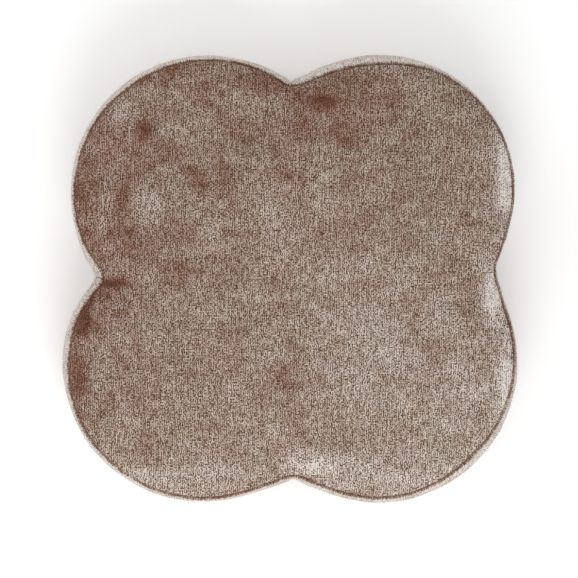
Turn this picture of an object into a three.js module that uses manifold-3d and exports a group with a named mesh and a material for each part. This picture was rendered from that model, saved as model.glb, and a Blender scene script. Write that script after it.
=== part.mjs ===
// A four-lobed box cushion for the floor: a chenille cover with a zip across its base, and a
// foam pad inside it. Millimetres, +Z up. The origin is at the bottom centre, on the floor.
import * as THREE from "three";
import { mergeVertices } from "three/addons/utils/BufferGeometryUtils.js";
import Module from "manifold-3d";

const wasm = await Module();
wasm.setup();

// ---- Driving dimensions ----
const HEIGHT = 100; // floor to the flat middle of the top
const CROWN_RISE = 12; // how much the middle of the top stands above its edge
const CROWN_FLAT_SHARE = 0.45; // share of the way to the edge over which the top is flat
const LOBE_OFFSET = 87; // centre of the cushion to each lobe's centre, along X and along Y
const LOBE_RADIUS = 132; // lobe, at the seams
const NOTCH_RADIUS = 21; // hollow between two lobes, at the seams
const BULGE = 7; // how far the border stands out past its two seams
const CLOTH = 2; // chenille velvet with its backing
const SEAM_TUCK = 1; // how far the sewn edges draw in from the seam line
const THREAD = 0.8; // side of the seam thread

const LINER = 0.7; // spunbond case of the pad
const BASE_WADDING = 16.7; // fibre layer under the foam
const TOP_WADDING = 8; // fibre layer over the foam, at its thin edge
const FOAM_INSET = 16; // foam's upright side, in from the seam line

const ZIP_LENGTH = 320; // run of the teeth
const TAPE_WIDTH = 10; // each tape, beside its teeth
const TAPE_THICKNESS = 0.6;
const TEETH_WIDTH = 1.6; // each row
const TEETH_HEIGHT = 1.8;
const SLIDER_LENGTH = 9;
const SLIDER_PLATE = 1;
const SLIDER_WALL = 1; // lips that hold the teeth in
const NECK_WIDTH = 0.8; // web between the slider's two plates
const NECK_LENGTH = 3;
const BAIL_DROP = 1.9; // opening under the slider's lower plate, for the pull
const BAIL_BAR = 1; // thickness of the bail
const BAIL_SPAN = 5; // outer length of the bail, along the zip
const BAIL_WIDTH = 2;
const PULL_LENGTH = 20;
const PULL_WIDTH = 5;
const PULL_THICKNESS = 1;
const STOP_LENGTH = 2.4;
const POCKET_DEPTH = 5; // the zip sits this far up from the floor
const POCKET_WIDTH = 22; // inner width of the pocket that the zip lies in
const SLOT_WIDTH = 9.4; // opening between the two folded edges of the base cloth
const POCKET_END = 18; // pocket's inner end, past the end of the teeth, where the pull lies flat

// ---- Clearances ----
const GAP = 0.3; // between any two pieces that touch

// ---- Outline ----
const COLUMNS_PER_LOBE = 20;
const NOTCH_SHARE = 1 / 10; // share of a lobe's columns that each half hollow takes
const RIM_DEPTH = 30; // within this distance of the seam line, insets keep a constant depth
const NOMINAL_RADIUS = 200; // stands for the seam line in every profile
const BORDER_ROWS = 6;
const CROWN_ROWS = [0.6, 0.75, 0.9];

const QUARTER = Math.PI / 2;
const AXIS = -NOMINAL_RADIUS; // the cushion's axis, as an offset from the seam line
const REACH = LOBE_OFFSET + LOBE_RADIUS + 2 * BULGE; // past every side
const hollowCentre = LOBE_OFFSET + Math.sqrt((LOBE_RADIUS + NOTCH_RADIUS) ** 2 - LOBE_OFFSET ** 2);
const hollowHalfAngle = Math.atan2(LOBE_OFFSET, hollowCentre - LOBE_OFFSET);

function onCircle(x, y, radius, angle) {
  return new THREE.Vector2(x + radius * Math.cos(angle), y + radius * Math.sin(angle));
}

// A point of the lobe in the first quadrant, share 0 at the hollow on +X and 1 at the one on +Y,
// with the outline moved outwards by offset.
function lobePoint(share, offset) {
  const hollow = NOTCH_RADIUS - offset;
  if (share < NOTCH_SHARE) {
    const angle = Math.PI - (hollowHalfAngle * share) / NOTCH_SHARE;
    return onCircle(hollowCentre, 0, hollow, angle);
  }
  if (share > 1 - NOTCH_SHARE) {
    const angle = -QUARTER + (hollowHalfAngle * (1 - share)) / NOTCH_SHARE;
    return onCircle(0, hollowCentre, hollow, angle);
  }
  const along = (share - NOTCH_SHARE) / (1 - 2 * NOTCH_SHARE);
  const angle = -hollowHalfAngle + (QUARTER + 2 * hollowHalfAngle) * along;
  return onCircle(LOBE_OFFSET, LOBE_OFFSET, LOBE_RADIUS + offset, angle);
}

function outlinePoint(turn, offset) {
  const lobes = (((turn % 1) + 1) % 1) * 4;
  const lobe = Math.floor(lobes + 1e-9) % 4;
  const share = Math.max(0, lobes - Math.floor(lobes + 1e-9));
  return lobePoint(share, offset).rotateAround(new THREE.Vector2(), lobe * QUARTER);
}

// Where a profile point at this radius lies, on the outline's own plan.
function planPoint(radius, turn) {
  const offset = radius - NOMINAL_RADIUS;
  if (offset >= -RIM_DEPTH) return outlinePoint(turn, offset);
  return outlinePoint(turn, -RIM_DEPTH).multiplyScalar(radius / (NOMINAL_RADIUS - RIM_DEPTH));
}

// Turns a profile of [offset from the seam line, height] points around the axis, then draws each
// round row out to the four-lobed plan. The profile runs anticlockwise about its section.
function lobed(profile) {
  const points = profile.map(([offset, z]) => new THREE.Vector2(NOMINAL_RADIUS + offset, z));
  const geometry = new THREE.LatheGeometry(points, 4 * COLUMNS_PER_LOBE);
  const position = geometry.getAttribute("position");
  for (let i = 0; i < position.count; i++) {
    const radius = Math.hypot(position.getX(i), position.getZ(i));
    const turn = Math.atan2(position.getX(i), position.getZ(i)) / (2 * Math.PI);
    const plan = planPoint(radius, turn);
    position.setXYZ(i, plan.x, plan.y, position.getY(i));
  }
  return geometry;
}

function box(x0, x1, y0, y1, z0, z1) {
  const geometry = new THREE.BoxGeometry(x1 - x0, y1 - y0, z1 - z0);
  return geometry.translate((x0 + x1) / 2, (y0 + y1) / 2, (z0 + z1) / 2);
}

// A box from y0 to y1 on the side of the middle line that side, -1 or 1, names.
function sideBox(x0, x1, side, y0, y1, z0, z1) {
  return side > 0 ? box(x0, x1, y0, y1, z0, z1) : box(x0, x1, -y1, -y0, z0, z1);
}

// ---- Booleans ----
function solid(geometry) {
  const bare = geometry.clone();
  bare.deleteAttribute("normal");
  bare.deleteAttribute("uv");
  const merged = mergeVertices(bare, 1e-4);
  return new wasm.Manifold(
    new wasm.Mesh({
      numProp: 3,
      vertProperties: new Float32Array(merged.getAttribute("position").array),
      triVerts: new Uint32Array(merged.index.array),
    }),
  );
}

function geometryOf(manifold) {
  const mesh = manifold.getMesh();
  const geometry = new THREE.BufferGeometry();
  geometry.setAttribute("position", new THREE.BufferAttribute(mesh.vertProperties, 3));
  geometry.setIndex(new THREE.BufferAttribute(mesh.triVerts, 1));
  geometry.computeVertexNormals();
  return geometry;
}

// ---- Sections shared by the cover and the pad ----
const topEdge = crownHeight(-SEAM_TUCK); // upper face of the top cloth at its edge
const borderBottom = CLOTH + GAP;
const borderTop = topEdge - CLOTH - GAP;

const borderRows = Array.from({ length: BORDER_ROWS + 1 }, (_, i) => i / BORDER_ROWS);

// How far the border's outer face stands past the seam line, straight between its rows.
function borderOffset(z) {
  const share = (z - borderBottom) / (borderTop - borderBottom);
  const row = Math.min(BORDER_ROWS - 1, Math.max(0, Math.floor(share * BORDER_ROWS)));
  const bulge = (at) => BULGE * (1 - (2 * at - 1) ** 2);
  const along = share * BORDER_ROWS - row;
  return -SEAM_TUCK + THREE.MathUtils.lerp(bulge(borderRows[row]), bulge(borderRows[row + 1]), along);
}

// Points up the side at the given depth inside the border's outer face, parallel to it.
function wallRows(depth, z0, z1) {
  const between = borderRows.map((share) => THREE.MathUtils.lerp(borderBottom, borderTop, share));
  const heights = [z0, ...between.filter((z) => z > z0 && z < z1), z1];
  return heights.map((z) => [borderOffset(z) - depth, z]);
}

function crownHeight(offset) {
  const share = 1 + offset / NOMINAL_RADIUS;
  const past = Math.max(0, share - CROWN_FLAT_SHARE) / (1 - CROWN_FLAT_SHARE);
  return HEIGHT - CROWN_RISE * past ** 2;
}

// Points over the top from the edge to the axis, at the given depth below the top cloth's face.
function crownLine(depth, edgeOffset) {
  const shares = [...CROWN_ROWS].reverse().concat(CROWN_FLAT_SHARE);
  const offsets = [edgeOffset, ...shares.map((share) => NOMINAL_RADIUS * (share - 1))];
  const line = offsets.map((offset) => [offset, crownHeight(offset) - depth]);
  return [...line, [AXIS, HEIGHT - depth]];
}

function crownedSheet(depth, thickness, edgeOffset) {
  const lower = crownLine(depth + thickness, edgeOffset).reverse();
  return lobed([...lower, ...crownLine(depth, edgeOffset)]);
}

function flatSheet(z0, z1, edgeOffset) {
  return lobed([[AXIS, z0], [edgeOffset, z0], [edgeOffset, z1], [AXIS, z1]]);
}

function ringOf(outer, inner) {
  const loop = [...outer, ...inner.reverse()];
  return lobed([...loop, loop[0]]);
}

// ---- Heights and widths of the zip ----
const pocketTop = POCKET_DEPTH + CLOTH;
const tapeBottom = pocketTop + GAP;
const teethMiddle = tapeBottom + TAPE_THICKNESS / 2;
const teethBottom = teethMiddle - TEETH_HEIGHT / 2;
const teethTop = teethMiddle + TEETH_HEIGHT / 2;
const teethInner = NECK_WIDTH / 2 + GAP;
const teethOuter = teethInner + TEETH_WIDTH;
const tapeInner = teethOuter + GAP;
const tapeTop = tapeBottom + TAPE_THICKNESS;
const tapeHalfLength = ZIP_LENGTH / 2 + POCKET_END;
const sliderHalfWidth = tapeInner + SLIDER_WALL;
const lowerFace = teethBottom - GAP; // slider's lower plate, face towards the teeth
const sliderBottom = lowerFace - SLIDER_PLATE;
const bailBottom = sliderBottom - BAIL_DROP - BAIL_BAR;
const eyeX = -SLIDER_LENGTH / 2; // middle of the bail, behind the slider's leading end
const eyeZ = sliderBottom - BAIL_DROP / 2;
const pocketHalfLength = ZIP_LENGTH / 2 + POCKET_END;
const pocketHalfWidth = POCKET_WIDTH / 2;


// ---- Layers of the pad ----
const linerDepth = CLOTH + GAP; // liner's outer face, in from the border's outer face
const waddingDepth = linerDepth + LINER + GAP;
const linerBottom = CLOTH + GAP;
const waddingBottom = linerBottom + LINER + GAP;
const foamBottom = waddingBottom + BASE_WADDING + GAP;
const padEdge = -SEAM_TUCK - waddingDepth; // edge of the top wadding, from the seam line
const foamTop = crownHeight(padEdge) - waddingDepth - TOP_WADDING - GAP;
const sliderTop = teethTop + GAP + SLIDER_PLATE;
const padRoomTop = sliderTop + GAP; // underside of the liner above the zip

// A block around the pocket of the zip, this much wider than its cloth.
function pocketBlock(margin, z0, z1) {
  const halfLength = pocketHalfLength + CLOTH + margin;
  const halfWidth = pocketHalfWidth + CLOTH + margin;
  return solid(box(-halfLength, halfLength, -halfWidth, halfWidth, z0, z1));
}

// ---- Cover ----
function topPanel() {
  return crownedSheet(0, CLOTH, -SEAM_TUCK);
}

// One of the four strips that make the upright border. They meet in the hollows.
function borderStrip(lobe) {
  const outer = wallRows(0, borderBottom, borderTop);
  const inner = wallRows(CLOTH, borderBottom, borderTop);
  const quadrant = box(GAP / 2, REACH, GAP / 2, REACH, -1, HEIGHT).rotateZ(lobe * QUARTER);
  return geometryOf(solid(ringOf(outer, inner)).intersect(solid(quadrant)));
}

// Half of the base, with its share of the pocket that the zip lies in. Side is -1 or 1 along Y.
function basePanel(side) {
  const slotEnd = (ZIP_LENGTH + POCKET_END) / 2;
  const length = pocketHalfLength;
  const room = box(-length, length, -pocketHalfWidth, pocketHalfWidth, -1, POCKET_DEPTH);
  const slot = box(-slotEnd, slotEnd, -SLOT_WIDTH / 2, SLOT_WIDTH / 2, -1, pocketTop + 1);
  const half = sideBox(-REACH, REACH, side, GAP / 2, REACH, -1, HEIGHT);
  const whole = solid(flatSheet(0, CLOTH, -SEAM_TUCK)).add(pocketBlock(0, 0, pocketTop));
  return geometryOf(whole.subtract(solid(room)).subtract(solid(slot)).intersect(solid(half)));
}

// Thread that draws the border to a panel, in the groove of the seam at height z.
function seamThread(z) {
  const inner = -SEAM_TUCK + GAP;
  const low = z - THREAD / 2;
  const high = z + THREAD / 2;
  return ringOf([[inner + THREAD, low], [inner + THREAD, high]], [[inner, low], [inner, high]]);
}

// ---- Zip ----
function zipTape(side) {
  const outer = tapeInner + TAPE_WIDTH;
  return sideBox(-tapeHalfLength, tapeHalfLength, side, tapeInner, outer, tapeBottom, tapeTop);
}

function zipTeeth(side) {
  return sideBox(-ZIP_LENGTH / 2, ZIP_LENGTH / 2, side, teethInner, teethOuter, teethBottom, teethTop);
}

function topStop(side) {
  const x = ZIP_LENGTH / 2 + GAP;
  return sideBox(x, x + STOP_LENGTH, side, teethInner, teethOuter, teethBottom, teethTop);
}

function bottomStop() {
  const x = -ZIP_LENGTH / 2 - GAP;
  return box(x - STOP_LENGTH, x, -teethOuter, teethOuter, teethBottom, teethTop);
}

// Two plates joined by a neck, with lips beside the teeth and a bail under the lower plate.
// Its leading end is at x = 0; heights are the whole cushion's.
function zipSlider() {
  const half = sliderHalfWidth;
  const lipTop = tapeBottom - GAP;
  const upperLip = tapeTop + GAP;
  const pieces = [
    box(-SLIDER_LENGTH, 0, -half, half, sliderTop - SLIDER_PLATE, sliderTop),
    box(-NECK_LENGTH, 0, -NECK_WIDTH / 2, NECK_WIDTH / 2, sliderBottom, sliderTop),
    box(eyeX - BAIL_SPAN / 2, eyeX + BAIL_SPAN / 2, -BAIL_WIDTH / 2, BAIL_WIDTH / 2, bailBottom, lowerFace),
  ];
  for (const side of [-1, 1]) {
    pieces.push(sideBox(-SLIDER_LENGTH, 0, side, tapeInner, half, sliderBottom, lipTop));
    pieces.push(sideBox(-SLIDER_LENGTH, 0, side, tapeInner, half, upperLip, sliderTop));
  }
  let body = solid(box(-SLIDER_LENGTH, 0, -half, half, sliderBottom, lowerFace));
  for (const piece of pieces) body = body.add(solid(piece));
  const eyeHalf = BAIL_SPAN / 2 - BAIL_BAR;
  const eye = box(eyeX - eyeHalf, eyeX + eyeHalf, -half, half, bailBottom + BAIL_BAR, sliderBottom);
  return geometryOf(body.subtract(solid(eye)));
}

// Flat tab whose end bar lies in the bail's eye. The hinge axis is Y, through the origin.
function zipPull() {
  const bar = PULL_THICKNESS / 2;
  const half = PULL_WIDTH / 2;
  const tab = new THREE.Shape();
  tab.moveTo(bar, -half);
  tab.lineTo(bar, half);
  tab.lineTo(half - PULL_LENGTH, half);
  tab.absarc(half - PULL_LENGTH, 0, half, QUARTER, 3 * QUARTER, false);
  tab.closePath();
  const windowHalf = BAIL_WIDTH / 2 + GAP;
  const windowEnd = -Math.hypot(BAIL_SPAN / 2, BAIL_DROP / 2 + BAIL_BAR) - GAP;
  const window = new THREE.Path();
  window.moveTo(-bar, -windowHalf);
  window.lineTo(windowEnd, -windowHalf);
  window.lineTo(windowEnd, windowHalf);
  window.lineTo(-bar, windowHalf);
  window.closePath();
  tab.holes.push(window);
  const depth = PULL_THICKNESS;
  const geometry = new THREE.ExtrudeGeometry(tab, { depth, bevelEnabled: false, curveSegments: 8 });
  return geometry.translate(0, 0, -depth / 2);
}

// ---- Pad ----
function linerBase() {
  const sheet = solid(flatSheet(linerBottom, linerBottom + LINER, -SEAM_TUCK - linerDepth));
  const cover = pocketBlock(GAP + LINER, linerBottom, padRoomTop + LINER);
  return geometryOf(sheet.add(cover).subtract(pocketBlock(GAP, -1, padRoomTop)));
}

function linerBorder() {
  const z0 = waddingBottom;
  const z1 = borderTop - GAP - LINER - GAP;
  const outer = wallRows(linerDepth, z0, z1);
  return ringOf(outer, wallRows(linerDepth + LINER, z0, z1));
}

function linerTop() {
  return crownedSheet(linerDepth, LINER, -SEAM_TUCK - linerDepth);
}

function waddingBase() {
  const z1 = waddingBottom + BASE_WADDING;
  const side = wallRows(waddingDepth, waddingBottom, z1);
  const layer = lobed([[AXIS, waddingBottom], ...side, [AXIS, z1]]);
  const room = pocketBlock(2 * GAP + LINER, -1, padRoomTop + LINER + GAP);
  return geometryOf(solid(layer).subtract(room));
}

function waddingBorder() {
  const inner = -FOAM_INSET + GAP;
  const outer = wallRows(waddingDepth, foamBottom, foamTop);
  return ringOf(outer, [[inner, foamBottom], [inner, foamTop]]);
}

function waddingTop() {
  const z0 = foamTop + GAP;
  const crown = crownLine(waddingDepth, padEdge);
  const side = wallRows(waddingDepth, z0, crown[0][1] - GAP);
  return lobed([[AXIS, z0], ...side, ...crown]);
}

function foamCore() {
  return flatSheet(foamBottom, foamTop, -FOAM_INSET);
}

// ---- Materials ----
function material(color, roughness, metalness = 0) {
  return () => new THREE.MeshStandardMaterial({ color, roughness, metalness });
}

const velvet = material(0x937f74, 0.85);
const baseCloth = material(0x7d6a60, 0.9);
const sewingThread = material(0x4b372d, 0.7);
const tapeCloth = material(0x6b5a50, 0.9);
const nylon = material(0x5c4a40, 0.45);
const brass = material(0xa98f62, 0.35, 1);
const spunbond = material(0xf0eee8, 0.9);
const fibre = material(0xf7f7f5, 1);
const foam = material(0xe9dfb8, 0.95);

// ---- Assembly ----
const cushion = new THREE.Group();

function place(parent, name, geometry, makeMaterial) {
  const mesh = new THREE.Mesh(geometry, makeMaterial());
  mesh.name = name;
  parent.add(mesh);
  return mesh;
}

place(cushion, "top_panel", topPanel(), velvet);
const borderNames = ["back_right", "back_left", "front_left", "front_right"];
borderNames.forEach((name, lobe) => place(cushion, `border_${name}`, borderStrip(lobe), velvet));
place(cushion, "top_seam_thread", seamThread((borderTop + topEdge - CLOTH) / 2), sewingThread);
place(cushion, "base_seam_thread", seamThread((CLOTH + borderBottom) / 2), sewingThread);

for (const [name, side] of [["front", -1], ["back", 1]]) {
  place(cushion, `base_panel_${name}`, basePanel(side), baseCloth);
  place(cushion, `zip_tape_${name}`, zipTape(side), tapeCloth);
  place(cushion, `zip_teeth_${name}`, zipTeeth(side), nylon);
  place(cushion, `zip_top_stop_${name}`, topStop(side), brass);
}
place(cushion, "zip_bottom_stop", bottomStop(), brass);

const slider = new THREE.Group();
slider.position.x = ZIP_LENGTH / 2;
cushion.add(slider);
place(slider, "zip_slider", zipSlider(), brass);
place(slider, "zip_pull", zipPull(), brass).position.set(eyeX, 0, eyeZ);

place(cushion, "liner_base", linerBase(), spunbond);
place(cushion, "liner_border", linerBorder(), spunbond);
place(cushion, "liner_top", linerTop(), spunbond);
place(cushion, "wadding_base", waddingBase(), fibre);
place(cushion, "wadding_border", waddingBorder(), fibre);
place(cushion, "wadding_top", waddingTop(), fibre);
place(cushion, "foam_core", foamCore(), foam);

export default cushion;
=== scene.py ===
import math

import bmesh
import bpy
import numpy as np
from bpy.props import FloatProperty, FloatVectorProperty, IntProperty, PointerProperty
from mathutils import Matrix, Vector, noise


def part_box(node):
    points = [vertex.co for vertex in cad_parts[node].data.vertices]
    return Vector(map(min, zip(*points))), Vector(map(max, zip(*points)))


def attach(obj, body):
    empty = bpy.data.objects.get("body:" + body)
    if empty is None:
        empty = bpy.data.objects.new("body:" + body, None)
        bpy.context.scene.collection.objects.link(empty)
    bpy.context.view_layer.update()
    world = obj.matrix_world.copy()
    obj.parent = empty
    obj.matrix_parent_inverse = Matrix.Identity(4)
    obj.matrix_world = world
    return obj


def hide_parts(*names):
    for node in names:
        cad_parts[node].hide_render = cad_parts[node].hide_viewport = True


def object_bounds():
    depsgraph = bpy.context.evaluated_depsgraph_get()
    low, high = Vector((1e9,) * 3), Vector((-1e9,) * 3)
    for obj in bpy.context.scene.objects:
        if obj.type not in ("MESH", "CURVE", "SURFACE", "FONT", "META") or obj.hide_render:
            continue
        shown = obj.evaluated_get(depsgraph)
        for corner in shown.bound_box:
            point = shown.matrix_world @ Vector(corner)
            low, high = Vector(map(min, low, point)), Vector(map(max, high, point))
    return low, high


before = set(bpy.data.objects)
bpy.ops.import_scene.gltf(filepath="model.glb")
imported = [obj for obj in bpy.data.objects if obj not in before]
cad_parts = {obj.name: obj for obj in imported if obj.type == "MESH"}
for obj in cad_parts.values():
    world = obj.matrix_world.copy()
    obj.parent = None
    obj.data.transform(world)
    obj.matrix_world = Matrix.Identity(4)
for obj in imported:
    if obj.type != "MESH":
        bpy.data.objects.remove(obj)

bl_info = {
    "name": "Lobed Floor Cushion",
    "version": (1, 0, 0),
    "blender": (4, 5, 0),
    "location": "View3D > Sidebar > Cushion",
    "description": "Builds a four-lobed floor cushion in crushed chenille velvet",
    "category": "Add Mesh",
}

CAD_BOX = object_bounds()
MM = 0.001
BODY = "cushion"
PAD_SLOTS = {
    "liner_base": "spunbond", "liner_border": "spunbond", "liner_top": "spunbond",
    "wadding_base": "wadding", "wadding_border": "wadding", "wadding_top": "wadding",
    "foam_core": "foam",
}
HEIGHT = CAD_BOX[1][2] / MM
SLOT_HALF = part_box("zip_tape_back")[0][1] / MM + 2.1  # edge of the base cloth beside the teeth
POCKET_HALF = 11.0  # half the width of the pocket that the zip lies in
POCKET_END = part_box("zip_tape_back")[1][0] / MM  # along X, where the pocket stops
POCKET_ROOF = 5.0  # height of the pocket's roof above the floor


# ---------------------------------------------------------------- settings

def srgb(code):
    """An sRGB hex colour as linear red, green, blue."""
    channels = [int(code[i:i + 2], 16) / 255 for i in (1, 3, 5)]
    return tuple(c / 12.92 if c <= 0.04045 else ((c + 0.055) / 1.055) ** 2.4 for c in channels)


def colour(name, description, code):
    return FloatVectorProperty(
        name=name, description=description, subtype="COLOR", size=3, min=0, max=1,
        default=srgb(code),
    )


def length(name, description, millimetres):
    return FloatProperty(
        name=name, description=description, unit="LENGTH", default=millimetres * MM, min=0,
    )


class CushionShape(bpy.types.PropertyGroup):
    lobe_offset: length("Lobe offset", "Middle of the cushion to a lobe's centre, each way", 87)
    lobe_radius: length("Lobe radius", "Radius of a lobe at the seams", 132)
    notch_radius: length("Notch radius", "Radius of the hollow between two lobes, at the seams", 21)
    bulge: length("Bulge", "How far the border stands out past the seams", 7)
    seam_height: length("Top seam height", "Height of the top seam", 87)
    base_rise: length("Base seam height", "Height of the base seam", 2.6)
    edge_roll: length("Edge roll", "How soon the top levels out, in from its seam", 10)
    edge_drop: length("Edge drop", "How far the rolled edge of the top falls to its seam", 9.5)
    groove: length("Seam groove", "Depth of the sewn groove", 1.5)
    ridge: length("Seam ridge", "Height of the rolled edge outside the groove", 1.0)
    stitch: length("Stitch", "Distance from one stitch to the next", 3.2)
    columns: IntProperty(name="Columns", description="Points around the cover", default=768)
    folds: FloatProperty(name="Folds", description="Share kept of the simulated folds", default=1)


class CushionLook(bpy.types.PropertyGroup):
    thread: colour("Thread", "Seam thread", "#50342a")
    nylon: colour("Zip coil", "Nylon coil of the zip", "#57463b")
    brass: colour("Zip metal", "Antiqued brass of the slider", "#a88d60")
    rib_pitch: length("Rib pitch", "Distance between two rows of pile", 2.1)
    fibres: IntProperty(name="Loose fibres", description="Pile fibres that stand out", default=9000)


def shape():
    return bpy.context.scene.cushion_shape


def look():
    return bpy.context.scene.cushion_look


# ---------------------------------------------------------------- outline

NOTCH_SHARE = 0.1  # share of a lobe's turn that each half hollow takes
RIM = 30.0  # insets keep a constant depth this far in, in millimetres
NOMINAL = 200.0  # seam line to the cushion's axis, on the section's own scale
BORDER = 86.0  # length of the section's path down the border

# How the sewn cover strays from its pattern. Lobes run round from +X +Y: where each lobe's middle
# ends up, in millimetres, and its size. Hollows run round from +X: how far each one's bottom moves.
SEWN_LOBES = (((89, 90), 0.960), ((-83, 86), 0.982), ((-89, -84), 1.0), ((88, -86), 0.997))
SEWN_HOLLOWS = ((6.5, 6.5), (-4.0, 2.0), (1.0, 0.0), (2.5, -5.8))
HOLLOW_REACH = 26.0  # how far round a hollow's bottom its move is felt
CREASE = (1.0, 3.6, 1.2, 1.8)  # how deep each hollow's upright seam pulls in, from +X round
# How far the top seam lies outside the base seam at sixteen places, from the hollow on +X round.
LEAN = (4.0, 3.4, 3.0, -3.2, 0.5, 1.8, 1.8, 3.4, -2.0, 1.0, 1.1, 0.5, -0.5, -0.9, -4.0, 1.2)
LEAN_FADE = 45.0  # how soon that offset fades, in from the seam

CROWN_EDGE = 0.45  # share of the way out from the axis where the top starts to fall
TOP_ROLL_POWER = 1.15  # how sharply the top rolls over into its seam
BASE_ROLL, BASE_ROLL_POWER = 5.0, 1.3  # how far in the base meets the floor, and how sharply
BULGE_POWER = 2.2  # 2 bulges as an arc, and more makes the border flatter in its middle


def true_outline(turn, offset):
    """Plan points of the outline as drawn, moved outwards by offset. Millimetres."""
    s = shape()
    a, radius, hollow = (v / MM for v in (s.lobe_offset, s.lobe_radius, s.notch_radius))
    centre = a + math.sqrt((radius + hollow) ** 2 - a ** 2)
    half = math.atan2(a, centre - a)
    lobes = np.mod(turn, 1.0) * 4
    lobe = np.minimum(np.floor(lobes + 1e-9), 3)
    share = np.clip(lobes - lobe, 0, 1)
    first = share < NOTCH_SHARE
    last = share > 1 - NOTCH_SHARE
    along = (share - NOTCH_SHARE) / (1 - 2 * NOTCH_SHARE)
    entry = math.pi - half * share / NOTCH_SHARE
    leaving = -math.pi / 2 + half * (1 - share) / NOTCH_SHARE
    angle = np.where(first, entry, np.where(last, leaving, (math.pi / 2 + 2 * half) * along - half))
    cx = np.where(first, centre, np.where(last, 0.0, a))
    cy = np.where(first, 0.0, np.where(last, centre, a))
    reach = np.where(first | last, hollow - offset, radius + offset)
    x, y = cx + reach * np.cos(angle), cy + reach * np.sin(angle)
    c, q = np.cos(lobe * math.pi / 2), np.sin(lobe * math.pi / 2)
    return np.stack([x * c - y * q, x * q + y * c], -1)


def plan(turn, offset):
    """As true_outline, but drawn in towards the axis once it is deeper than the rim."""
    rim = true_outline(turn, np.maximum(offset, -RIM))
    return rim * (np.minimum(1, (NOMINAL + offset) / (NOMINAL - RIM)))[..., None]


def eased(values, place):
    """A smooth reading of a closed row of values at a fractional place."""
    values = np.asarray(values, float)
    low = np.floor(place).astype(int) % len(values)
    share = place - np.floor(place)
    share = share * share * (3 - 2 * share)
    if values.ndim > 1:
        share = share[..., None]
    return values[low] * (1 - share) + values[(low + 1) % len(values)] * share


def stray(xy):
    """The sewn cover's own unevenness at plan points, fading out towards the axis."""
    s = shape()
    a = s.lobe_offset / MM
    quarter = np.mod(np.arctan2(xy[..., 1], xy[..., 0]) / (math.pi / 2), 4.0)
    moved = 0
    for lobe, (middle, size) in enumerate(SEWN_LOBES):
        centre = np.array([(a, a), (-a, a), (-a, -a), (a, -a)][lobe])
        away = np.abs(np.mod(quarter - lobe - 0.5 + 2, 4.0) - 2)
        share = np.clip((0.7 - away) / 0.4, 0, 1)
        share = share * share * (3 - 2 * share)
        moved = moved + share[..., None] * (np.array(middle) + size * (xy - centre) - xy)
    half = s.lobe_radius / MM + s.notch_radius / MM
    bottom = a + math.sqrt(half ** 2 - a ** 2) - s.notch_radius / MM
    for side, shift in enumerate(SEWN_HOLLOWS):
        middle = bottom * np.array([(1, 0), (0, 1), (-1, 0), (0, -1)][side])
        near = np.exp(-(((xy - middle) / HOLLOW_REACH) ** 2).sum(-1))
        moved = moved + near[..., None] * np.array(shift)
    out = np.clip(np.hypot(xy[..., 0], xy[..., 1]) / NOMINAL, 0, 1)
    return moved * (out ** 2)[..., None]


def section(path):
    """Offset from the seam line and height at a place on the section's path, in millimetres: below
    0 the top, then the border downwards, then the base."""
    s = shape()
    seam, rise = s.seam_height / MM, s.base_rise / MM
    drop, roll = s.edge_drop / MM, s.edge_roll / MM
    deep = np.maximum(-path, path - BORDER)
    down = np.clip(path / BORDER, 0, 1)
    past = np.maximum(0, (1 - deep / NOMINAL) - CROWN_EDGE) / (1 - CROWN_EDGE)
    top = HEIGHT - (HEIGHT - seam - drop) * past ** 2 - drop * np.exp(-(deep / roll) ** TOP_ROLL_POWER)
    base = rise * np.exp(-(deep / BASE_ROLL) ** BASE_ROLL_POWER)
    border = seam + (rise - seam) * down
    bulge = s.bulge / MM * (1 - np.abs(2 * down - 1) ** BULGE_POWER)
    offset = np.where(path < 0, -deep, np.where(path > BORDER, -deep, bulge))
    height = np.where(path < 0, top, np.where(path > BORDER, base, border))
    return offset, height


def surface(turn, path):
    """Points of the smooth cover, one row per path value and one column per turn. Millimetres."""
    t, p = np.meshgrid(turn, path)
    offset, height = section(p)
    lean = eased(LEAN, np.mod(t, 1.0) * len(LEAN))
    share = np.where(p < 0, np.exp(p / LEAN_FADE), np.clip(1 - 2.6 * p / BORDER, 0, 1) ** 1.4)
    xy = plan(t, offset + lean * share)
    return np.concatenate([xy + stray(xy), height[..., None]], -1)


def normals(grid):
    """Outward unit normals of a grid that closes on itself along its columns."""
    around = np.roll(grid, -1, 1) - np.roll(grid, 1, 1)
    along = np.gradient(grid, axis=0)
    n = np.cross(along, around)
    size = np.linalg.norm(n, axis=-1, keepdims=True)
    n = n / np.maximum(size, 1e-9)
    n[0], n[-1] = (0, 0, 1), (0, 0, -1)
    return n


# ---------------------------------------------------------------- folds

SIM_COLUMNS = 192
SIM_ROWS = np.concatenate([
    -np.array([200, 150, 110, 90, 78, 68, 59, 51, 44, 37.5, 31.5, 26, 21, 16.5, 12.5, 9, 6, 3.5, 1.5]),
    np.linspace(0, BORDER, 15),
    BORDER + np.array([1.5, 3.5, 6, 10, 16, 25, 45, 90, 200]),
])
SIM_FRAMES = 20
FOLD_LIMIT = 6.0
# How much of the folds is kept along the section's path: most out on the top, little at the seam.
FOLD_PLACES = (-90, -45, -16, -4, 10)
FOLD_SHARES = (0.6, 0.7, 0.5, 0.22, 0.22)


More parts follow.
